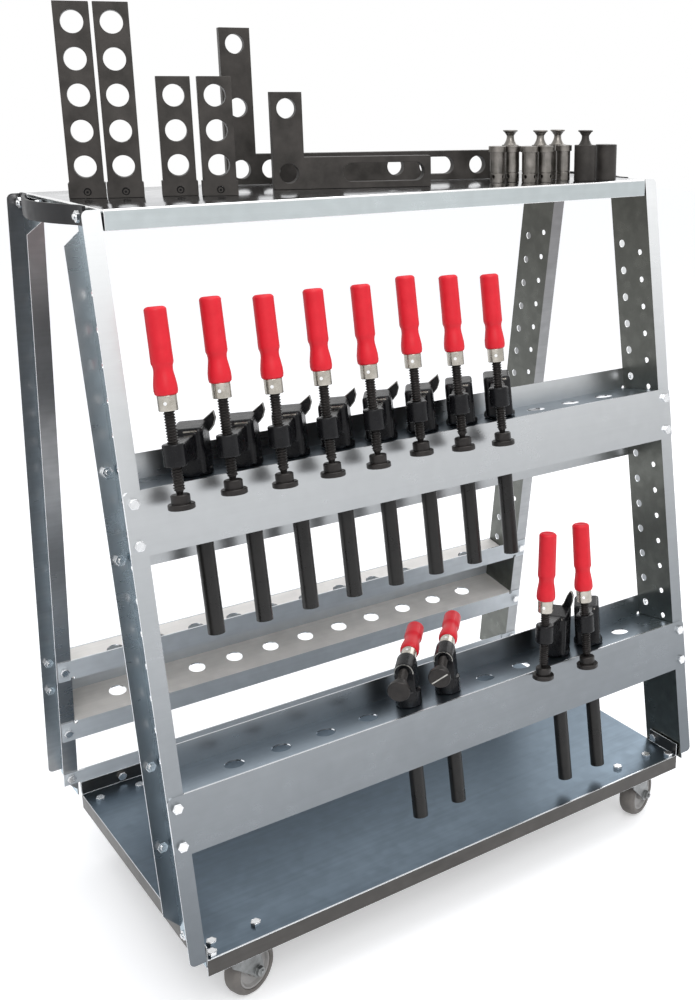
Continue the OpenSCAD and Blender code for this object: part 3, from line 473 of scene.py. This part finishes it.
def lathe(bm, profile, steps=48, place=Matrix.Identity(4)):
    """Turns (radius, height) points about Z. Radius 0 closes the end."""
    angles = [2 * math.pi * k / steps for k in range(steps)]
    rings = []
    for radius, height in profile:
        if radius == 0:
            points = [Vector((0, 0, height))]
        else:
            points = [Vector((radius * math.cos(a), radius * math.sin(a), height)) for a in angles]
        rings.append([bm.verts.new(place @ point) for point in points])
    for low, high in zip(rings, rings[1:]):
        for k in range(steps):
            following = (k + 1) % steps
            corners = [low[k % len(low)], low[following % len(low)]]
            corners += [high[following % len(high)], high[k % len(high)]]
            unique = list(dict.fromkeys(corners))
            if len(unique) > 2:
                bm.faces.new(unique)


def thread(bm, radius, bottom, top, steps=28, rings_per_turn=6, flank=2.2, root=0.6):
    """A single-start screw thread: the radius follows a helix between crest and root."""
    angles = [2 * math.pi * k / steps for k in range(steps)]
    count = max(2, round((top - bottom) / THREAD_PITCH * rings_per_turn))
    previous = None
    for ring in range(count + 1):
        height = bottom + (top - bottom) * ring / count
        row = []
        for k, a in enumerate(angles):
            phase = (height / THREAD_PITCH - k / steps) % 1.0
            crest = min(1.0, max(0.0, flank * abs(2 * phase - 1) - root))
            r = radius - THREAD_DEPTH * (1 - crest)
            row.append(bm.verts.new((r * math.cos(a), r * math.sin(a), height)))
        if previous:
            for k in range(steps):
                bm.faces.new([previous[k], previous[(k + 1) % steps], row[(k + 1) % steps], row[k]])
        previous = row


def second_skin(bm, first):
    """Gives the faces from number first on the piece's second material."""
    bm.faces.ensure_lookup_table()
    for face in bm.faces[first:]:
        face.material_index = 1


def block(bm, low, high, place=Matrix.Identity(4)):
    centre = (Vector(low) + Vector(high)) / 2
    size = Vector(high) - Vector(low)
    fit = place @ Matrix.Translation(centre) @ Matrix.Diagonal((*size, 1))
    bmesh.ops.create_cube(bm, size=1, matrix=fit)


def extruded(bm, outline, half_width, place=Matrix.Identity(4)):
    """A plate whose outline lies in Y and Z, half_width to each side of X = 0."""
    left = [bm.verts.new(place @ Vector((-half_width, y, z))) for y, z in outline]
    right = [bm.verts.new(place @ Vector((half_width, y, z))) for y, z in outline]
    bm.faces.new(left)
    bm.faces.new(right)
    for k in range(len(outline)):
        following = (k + 1) % len(outline)
        bm.faces.new([left[k], left[following], right[following], right[k]])


def rounded(points, radius, steps=6):
    """Replaces the corners of an outline of (radius, height) points by arcs."""
    result = [points[0]]
    for before, corner, after in zip(points, points[1:], points[2:]):
        here = Vector(corner)
        to_before, to_after = Vector(before) - here, Vector(after) - here
        reach = min(radius, to_before.length / 2, to_after.length / 2)
        start = here + to_before.normalized() * reach
        end = here + to_after.normalized() * reach
        for k in range(steps + 1):
            t = k / steps
            result.append(tuple(start * (1 - t) ** 2 + here * 2 * t * (1 - t) + end * t ** 2))
    result.append(points[-1])
    return result


def bevel(piece, width, material=-1):
    modifier = piece.modifiers.new("edges", "BEVEL")
    modifier.width = width
    modifier.segments = 2
    modifier.limit_method = "ANGLE"
    modifier.angle_limit = BEVEL_ANGLE
    modifier.harden_normals = True
    modifier.use_clamp_overlap = False
    modifier.loop_slide = False
    modifier.material = material
    return piece


def crisp(piece):
    """Keeps broad faces flat up to their rounded corners."""
    flat = piece.modifiers.new("flat_faces", "WEIGHTED_NORMAL")
    flat.keep_sharp = True
    return piece


def finish_piece(piece, material, body, slot, *nodes):
    skins = material if isinstance(material, list) else [material]
    if not piece.data.materials:
        for skin in skins:
            piece.data.materials.append(skin)
    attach(piece, body)
    if nodes:
        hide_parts(*nodes)


# Pieces that keep the CAD's solids, some of them with softened edges
def is_cut(face):
    """A cut edge of the sheet or the wall of a hole: a strip no wider than the sheet is thick."""
    width = 2 * face.calc_area() / face.calc_perimeter()
    return width < CUT_WIDTH and all(edge.calc_face_angle(0) > FACE_ANGLE for edge in face.edges)


def softened(node, edge=0, bends=None, paint=None):
    """A copy of a CAD solid, with rounded edges and bends where edge and bends ask for them, and on each face
    the skin that paint gives; the EDGE skin that cut edges, hole walls, bends and bevels take is a painted
    highlight.
    """
    bm = bmesh.new()
    bm.from_mesh(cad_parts[node].data)
    bmesh.ops.remove_doubles(bm, verts=bm.verts, dist=WELD)
    bmesh.ops.dissolve_limit(bm, angle_limit=FLAT_ANGLE, verts=bm.verts, edges=bm.edges)
    for face in bm.faces:
        face.material_index = paint(face.calc_center_median(), face.normal) if paint else 0
        # Cut edges and hole walls take the bright EDGE skin: a painted highlight
        if paint and is_cut(face):
            face.material_index = EDGE
    if bends:
        folds = [e for e in bm.edges if e.calc_face_angle(0) > BEND_ANGLE]
        chosen = [e for e in folds if all(bends(v.co) for v in e.verts)]
        made = bmesh.ops.bevel(bm, geom=chosen, offset=BEND, segments=4, profile=0.5, affect="EDGES")
        # Bend faces take the bright EDGE skin: a painted highlight along the bends
        for face in made["faces"]:
            face.material_index = EDGE
    piece = to_object(node + "_shell", bm)
    if edge:
        return bevel(piece, edge, material=EDGE if paint else -1)
    return crisp(piece)


def near(value, target, tolerance=0.0004):
    return abs(value - target) < tolerance


def tray_bends(point):
    _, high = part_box("top_tray")
    on_side = near(abs(point.x), high.x) or near(abs(point.y), high.y)
    return on_side and near(point.z, high.z)


def deck_bends(point):
    low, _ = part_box("bottom_tray")
    return near(point.z, DECK_HEIGHT) and near(point.y, low.y)


# Each of these says which of its sheet's skins a face takes, by which way the face looks: painted light and
# shade on one zinc
def paint_post(centre, normal):
    if abs(normal.x) < STRAIGHT:
        return PLAIN if normal.y * centre.y > 0 else BACK
    return SIDE if normal.x * centre.x > 0 else INSIDE


def paint_shelf(centre, normal):
    if abs(normal.z) > STRAIGHT:
        return FLOOR
    return PLAIN if abs(normal.y) > STRAIGHT or abs(normal.x) > 0.5 else EDGE


def paint_tray(centre, normal):
    return TOP if normal.z > STRAIGHT else PLAIN


def make_sheets():
    sheets = [(f"post_{side}", paint_post, SHEET_SKINS) for side in CORNERS]
    sheets += [(name, paint_shelf, SHEET_SKINS) for name in ("upper_front_shelf", "lower_front_shelf")]
    sheets += [(name, paint_shelf, REAR_SKINS) for name in ("rear_shelf", "rear_rail")]
    for name, paint, skins in sheets:
        finish_piece(softened(name, paint=paint), skins, "carrier", "galvanised_sheet", name)
    trays = [("top_tray", tray_bends, [ZINC_LIP, ZINC_EDGE, ZINC_TABLE]),
             ("bottom_tray", deck_bends, [ZINC_LOW_LIP, ZINC_EDGE, ZINC_DECK])]
    for name, bends, skins in trays:
        piece = softened(name, SHEET_EDGE, bends, paint_tray)
        finish_piece(piece, skins, "carrier", "galvanised_sheet", name)


def make_fittings():
    for name in ["grab_strap_left", "grab_strap_right"]:
        finish_piece(softened(name, edge=0.0008), STRAP_BLACK, "carrier", "black_strap", name)
    for name in ["frame_bolts", "frame_nuts", "caster_plates"]:
        finish_piece(softened(name, edge=0.0005), BRIGHT_ZINC, "carrier", "bright_zinc", name)


def make_casters():
    for name in CORNERS:
        fork, wheel, tyre = f"caster_fork_{name}", f"caster_wheel_{name}", f"caster_tyre_{name}"
        finish_piece(softened(fork, edge=0.0009), PRESSED_ZINC, f"swivel_{name}", "dark_zinc", fork)
        finish_piece(softened(wheel, edge=0.0012), WHEEL_CORE, f"wheel_{name}", "wheel_core", wheel)
        finish_piece(softened(tyre, edge=0.0012), TYRE, f"wheel_{name}", "grey_tyre", tyre)


def make_load():
    for name in [*BAR_PLACES, "angle_stop_1", "angle_stop_2"]:
        finish_piece(softened(name, edge=0.0007), STOP_STEEL, f"loose_{name}", "burnished_steel", name)
    for name, (x, y) in BAR_PLACES.items():
        place = Matrix.Translation((x, y, TABLE_HEIGHT)) @ Matrix.Rotation(math.radians(BAR_TURN), 4, "Z")
        socket_screw(name, place)
    bolts = [("clamping_bolts", BOLT_STEEL, "bolt_steel"), ("stop_bolts", STOP_STEEL, "burnished_steel")]
    for name, material, slot in bolts:
        finish_piece(softened(name, edge=0.0005), material, f"loose_{name}", slot, name)


def socket_screw(name, place):
    """The cap screw sunk in a stop bar's foot, with its head toward the viewer."""
    front, step, back = -0.0004, -0.003, -BAR_THICKNESS + 0.0004
    socket, rim = 0.0019, 0.0041
    shank = [(0, step), (BAR_SCREW_RADIUS, step), (BAR_SCREW_RADIUS, back), (0, back)]
    head = [(socket, step), (socket, front), (rim - 0.0004, front), (rim, front - 0.0006), (rim, step),
            (socket, step)]
    at_face = place @ Matrix.Translation((0, -BAR_THICKNESS / 2, BAR_SCREW_HEIGHT)) @ FACING
    bm = bmesh.new()
    # The shank's face is black and shows as a dark ring round the head and in its socket: painted shade in
    # the recess
    lathe(bm, shank, steps=24, place=at_face)
    seen = len(bm.faces)
    lathe(bm, head, steps=24, place=at_face)
    second_skin(bm, seen)
    finish_piece(to_object(name + "_screw", bm), [CAST_BLACK, STOP_STEEL], "loose_" + name, "burnished_steel")


# Clamps
def grip_profile(length, radius):
    """Half outline of a grip: a flare over the ferrule, a waist, a small ledge and a long even end."""
    end = 0.006
    points = [
        (0, 0), (radius - 0.0016, 0), (radius + 0.0002, 0.0016), (radius + 0.0010, 0.006),
        (radius + 0.0007, 0.014), (radius - 0.0008, 0.024), (radius - 0.0020, 0.031),
        (radius - 0.0022, 0.036), (radius - 0.0016, 0.040), (radius - 0.0002, 0.0435), (radius, 0.046),
        (radius - 0.0002, 0.06), (radius - 0.0004, length - end),
    ]
    angles = [math.radians(degrees) for degrees in (18, 36, 54, 72, 90)]
    dome = [(radius - end + end * math.cos(a), length - end + end * math.sin(a)) for a in angles]
    return points + dome + [(radius * 0.35, length - 0.0008), (0, length - 0.001)]


def make_screw(name, place, length, grip):
    """Pad, threaded spindle, ferrule with its cross pin, and grip, from the pad's face upwards."""
    body = name + "_spindle"
    ferrule_foot = length - grip - FERRULE_HEIGHT
    neck_foot = PAD_DISC + PAD_STEP
    disc_chamfer, step_chamfer = 0.001, 0.0015
    bm = bmesh.new()
    pad = [(0, 0), (PAD_RADIUS - disc_chamfer, 0), (PAD_RADIUS, disc_chamfer),
           (PAD_RADIUS, PAD_DISC - disc_chamfer), (PAD_RADIUS - disc_chamfer, PAD_DISC),
           (PAD_STEP_RADIUS, PAD_DISC), (PAD_STEP_RADIUS, neck_foot - step_chamfer),
           (PAD_STEP_RADIUS - step_chamfer, neck_foot), (0, neck_foot)]
    lathe(bm, pad, place=place)
    neck_head = neck_foot + NECK_LENGTH + 0.004
    neck = [(NECK_RADIUS, neck_foot - 0.002), (NECK_RADIUS, neck_foot + 0.0015),
            (SCREW_RADIUS - 0.0006, neck_head), (0, neck_head)]
    lathe(bm, neck, place=place)
    helix = bmesh.new()
    thread(helix, SCREW_RADIUS, neck_foot + NECK_LENGTH + 0.001, ferrule_foot + 0.001)
    helix.transform(place)
    spindle_mesh = bpy.data.meshes.new("helix")
    helix.to_mesh(spindle_mesh)
    helix.free()
    bm.from_mesh(spindle_mesh)
    bpy.data.meshes.remove(spindle_mesh)
    if name in GROOVED:
        turn = place @ Matrix.Rotation(math.radians(GROOVE_TURN), 4, "Z")
        seen = len(bm.faces)
        half = PAD_RADIUS - 0.002
        # The groove's block takes the second skin, a painted highlight across the pad
        block(bm, (-half, 0.0002, -0.0002), (half, 0.0024, 0.0004), turn)
        second_skin(bm, seen)
    spindle = crisp(to_object(name + "_spindle", bm))
    finish_piece(spindle, [THREAD_BLACK, EDGE_HIGHLIGHT], body, "clamp_screw_red_grip", name + "_screw")

    bm = bmesh.new()
    ring = [(0, 0), (FERRULE_RADIUS, 0), (FERRULE_RADIUS, FERRULE_HEIGHT), (0, FERRULE_HEIGHT)]
    lathe(bm, rounded(ring, 0.0012, 4), place=place @ Matrix.Translation((0, 0, ferrule_foot)))
    across = place @ Matrix.Translation((0, 0, ferrule_foot + FERRULE_HEIGHT / 2)) @ FACING
    reach = FERRULE_RADIUS + 0.0004
    seen = len(bm.faces)
    pin = [(0, -reach), (CROSS_PIN_RADIUS, -reach), (CROSS_PIN_RADIUS, reach), (0, reach)]
    lathe(bm, pin, steps=16, place=across)
    second_skin(bm, seen)
    finish_piece(crisp(to_object(name + "_ferrule", bm)), [NICKEL, ZINC_EDGE], body, "clamp_screw_red_grip")

    bm = bmesh.new()
    grip_foot = place @ Matrix.Translation((0, 0, ferrule_foot + FERRULE_HEIGHT))
    lathe(bm, grip_profile(grip, GRIP_RADIUS), steps=56, place=grip_foot)
    finish_piece(to_object(name + "_grip", bm), RED_GRIP, body, "clamp_screw_red_grip")


def baked(piece):
    """The piece's mesh with its modifiers applied; the piece itself goes."""
    graph = bpy.context.evaluated_depsgraph_get()
    mesh = bpy.data.meshes.new_from_object(piece.evaluated_get(graph))
    old = piece.data
    bpy.data.objects.remove(piece)
    bpy.data.meshes.remove(old)
    return mesh


def cast(name, bm, voxel):
    """Melts overlapping blocks into one casting with filleted joins."""
    piece = to_object(name, bm)
    remesh = piece.modifiers.new("melt", "REMESH")
    remesh.mode = "VOXEL"
    remesh.voxel_size = voxel
    smooth = piece.modifiers.new("fillet", "SMOOTH")
    smooth.factor = 0.5
    smooth.iterations = 2
    thin = piece.modifiers.new("thin", "DECIMATE")
    thin.ratio = 0.35
    mesh = baked(piece)
    for polygon in mesh.polygons:
        polygon.use_smooth = True
    mesh.set_sharp_from_angle(angle=math.pi)
    return mesh


def rounded_box(bm, half_x, half_y, corner, levels):
    """Rings of a rounded rectangle joined into a solid; a level is front height, back height and inset."""
    corner_steps = 4
    rings = []
    for front, back, inset in levels:
        ring = []
        for sx, sy, start in ((1, 1, 0), (-1, 1, 90), (-1, -1, 180), (1, -1, 270)):
            for step in range(corner_steps + 1):
                a = math.radians(start + step * 90 / corner_steps)
                x = sx * (half_x - corner) + (corner - inset) * math.cos(a)
                y = sy * (half_y - corner) + (corner - inset) * math.sin(a)
                share = (y + half_y) / (2 * half_y)
                ring.append(bm.verts.new((x, y, front + (back - front) * share)))
        rings.append(ring)
    for low, high in zip(rings, rings[1:]):
        for k in range(len(low)):
            following = (k + 1) % len(low)
            bm.faces.new([low[k], low[following], high[following], high[k]])
    bm.faces.new(rings[0])
    bm.faces.new(rings[-1])


def bored(radius, bottom, top):
    """Outline of a ring that the screw runs through."""
    hole = SCREW_RADIUS + SCREW_CLEARANCE
    return [(hole, bottom), (radius, bottom), (radius, top), (hole, top), (hole, bottom)]


def arm_casting(head):
    """Collar, housing, arm and boss of a large clamp."""
    top, boss_bottom = head
    boss_top = boss_bottom + BOSS_HEIGHT
    bm = bmesh.new()
    collar = [(0, REST_GAP), (COLLAR_RADIUS, REST_GAP), (COLLAR_RADIUS, COLLAR_HEIGHT), (0, COLLAR_HEIGHT)]
    lathe(bm, collar, steps=40)
    levels = [(0.004, 0.004, 0), (top - 0.012, top - 0.004, 0), (top - 0.008, top - 0.001, 0.0012),
              (top - 0.007, top, 0.004)]
    rounded_box(bm, HOUSING_X, HOUSING_Y, HOUSING_CORNER, levels)
    lathe(bm, bored(BOSS_RADIUS, boss_bottom, boss_top), steps=36, place=Matrix.Translation((0, -THROAT, 0)))
    start, end = -THROAT + BOSS_RADIUS - 0.003, -HOUSING_Y + 0.004
    upper = min(boss_top, top - 0.008)
    arm = [(start, boss_bottom + 0.001), (end, boss_bottom - 0.004), (end, upper), (start, boss_top - 0.002)]
    extruded(bm, arm, ARM_HALF)
    return cast("arm_casting", bm, LARGE_VOXEL)


def lever_mesh(outline):
    bm = bmesh.new()
    turn = Matrix.Translation((0, HOUSING_Y - LEVER_HALF, 0)) @ Matrix.Rotation(-math.pi / 2, 4, "Z")
    extruded(bm, [(x / 1000, z / 1000) for x, z in outline], LEVER_HALF, turn)
    # The bevel faces take the second skin, a painted highlight along the lever's edges
    piece = bevel(to_object("lever", bm), 0.0010, material=1)
    piece.data.materials.append(CAST_BLACK)
    piece.data.materials.append(EDGE_HIGHLIGHT)
    return baked(piece)


def make_tube(name, place, drop, top):
    bm = bmesh.new()
    inner = TUBE_RADIUS - TUBE_WALL
    ring = [(inner, top), (inner, -drop), (TUBE_RADIUS, -drop), (TUBE_RADIUS, top), (inner, top)]
    lathe(bm, rounded(ring, 0.0006, 3), steps=48, place=place)
    finish_piece(to_object(name + "_tube", bm), TUBE_BLACK, name, "clamp_black", name + "_body")


def slot_highlight_bar(bm, top, place):
    """A thin bright bar just under the housing's top: a painted highlight along the slot there."""
    block(bm, (-0.004, -HOUSING_Y - 0.0002, top - 0.0125), (0.016, -HOUSING_Y + 0.003, top - 0.0100), place)


def make_large_clamp(name, place, top, tilt, pad_drop, length, casting, lever):
    make_tube(name, place, TUBE_DROP, TUBE_TOP)
    lift = Matrix.Translation((0, 0, COLLAR_RADIUS * math.sin(math.radians(tilt))))
    place = place @ lift @ Matrix.Rotation(math.radians(tilt), 4, "Y")
    body = casting.copy()
    body.transform(place)
    finish_piece(link(name + "_casting", body), CAST_BLACK, name, "clamp_black")
    at_lever = place
    if name in LEVERS_BEHIND:
        shift = Matrix.Translation((HOUSING_Y - HOUSING_X, -HOUSING_Y + LEVER_HALF, 0))
        at_lever = place @ Matrix.Rotation(math.pi / 2, 4, "Z") @ shift
    wing = lever.copy()
    wing.transform(at_lever)
    finish_piece(link(name + "_lever", wing), [CAST_BLACK, EDGE_HIGHLIGHT], name, "clamp_black")
    bm = bmesh.new()
    slot_highlight_bar(bm, top, place)
    finish_piece(bevel(to_object(name + "_slot_highlight", bm), 0.0005), NICKEL, name, "clamp_black")
    at_screw = place @ Matrix.Translation((0, -THROAT, -pad_drop / 1000))
    make_screw(name, at_screw, length, GRIP_LENGTH)


def small_axis():
    """The axis of a small clamp's screw: Z runs from the pad back to the grip."""
    return Matrix.Translation((0, 0, SMALL_AXIS_HEIGHT)) @ Matrix.Rotation(-math.pi / 2 + SMALL_TILT, 4, "X")


def small_casting():
    bm = bmesh.new()
    sleeve = [(TUBE_RADIUS, REST_GAP), (SMALL_SLEEVE_RADIUS, REST_GAP), (SMALL_SLEEVE_RADIUS, 0.026),
              (TUBE_RADIUS, 0.030), (TUBE_RADIUS, REST_GAP)]
    lathe(bm, sleeve, steps=40)
    block(bm, (-SMALL_HEAD_RADIUS, -0.017, 0.020), (SMALL_HEAD_RADIUS, 0.019, SMALL_AXIS_HEIGHT))
    lathe(bm, bored(SMALL_HEAD_RADIUS, -SMALL_BOSS / 2, SMALL_BOSS / 2), steps=36, place=small_axis())
    return cast("small_casting", bm, SMALL_VOXEL)


def make_small_clamp(name, hole, casting):
    place = hole_frame(LOWER_SHELF_UP, hole, SMALL_SWING)
    make_tube(name, place, SMALL_TUBE_DROP, SMALL_TUBE_TOP)
    body = casting.copy()
    body.transform(place)
    finish_piece(link(name + "_casting", body), CAST_BLACK, name, "clamp_black")
    # Thin bright rings at both rims of the boss: a painted highlight where the rims catch the light
    bm = bmesh.new()
    inner, outer = SMALL_HEAD_RADIUS - 0.0020, SMALL_HEAD_RADIUS - 0.0006
    for height in (-SMALL_BOSS / 2, SMALL_BOSS / 2):
        low, high = height - 0.0003, height + 0.0003
        rim = [(inner, low), (outer, low), (outer, high), (inner, high), (inner, low)]
        lathe(bm, rim, steps=40, place=place @ small_axis())
    finish_piece(to_object(name + "_rim_highlights", bm), EDGE_HIGHLIGHT, name, "clamp_black")
    at_screw = place @ small_axis() @ Matrix.Translation((0, 0, -SMALL_PAD_REACH))
    make_screw(name, at_screw, SMALL_SCREW_LENGTH, SMALL_GRIP)


def make_clamps():
    upper, large = arm_casting(UPPER_HEAD), arm_casting(LARGE_HEAD)
    wing, leaf = lever_mesh(SHORT_LEVER), lever_mesh(LONG_LEVER)
    for i, drop in enumerate(UPPER_PAD_DROPS, 1):
        place = hole_frame(UPPER_SHELF_UP, i, UPPER_SWING)
        make_large_clamp(f"clamp_{i}", place, UPPER_HEAD[0], 0, drop, SCREW_LENGTH, upper, wing)
    for i, hole in enumerate(LARGE_HOLES):
        place = hole_frame(LOWER_SHELF_UP, hole, LARGE_SWINGS[i])
        make_large_clamp(f"large_clamp_{i + 1}", place, LARGE_HEAD[0], LARGE_TILTS[i], LARGE_PAD_DROP,
                         LARGE_SCREW_LENGTH, large, (leaf, wing)[i])
    small = small_casting()
    for i, hole in enumerate(SMALL_HOLES, 1):
        make_small_clamp(f"small_clamp_{i}", hole, small)


make_camera()
make_world()
make_floor()
make_light("key", (-1.2, -3.2, 3.4), (0, 0, 0.7), (2.6, 2.0), 70)
make_light("top", (0.4, -0.4, 4.2), (0, 0, 0.6), (3.0, 3.0), 55)
make_light("rim", (3.0, 1.2, 2.4), (0, 0, 0.7), (2.0, 2.0), 25)
make_sheets()
make_fittings()
make_casters()
make_load()
make_clamps()

bpy.context.scene.view_settings.view_transform = "Standard"
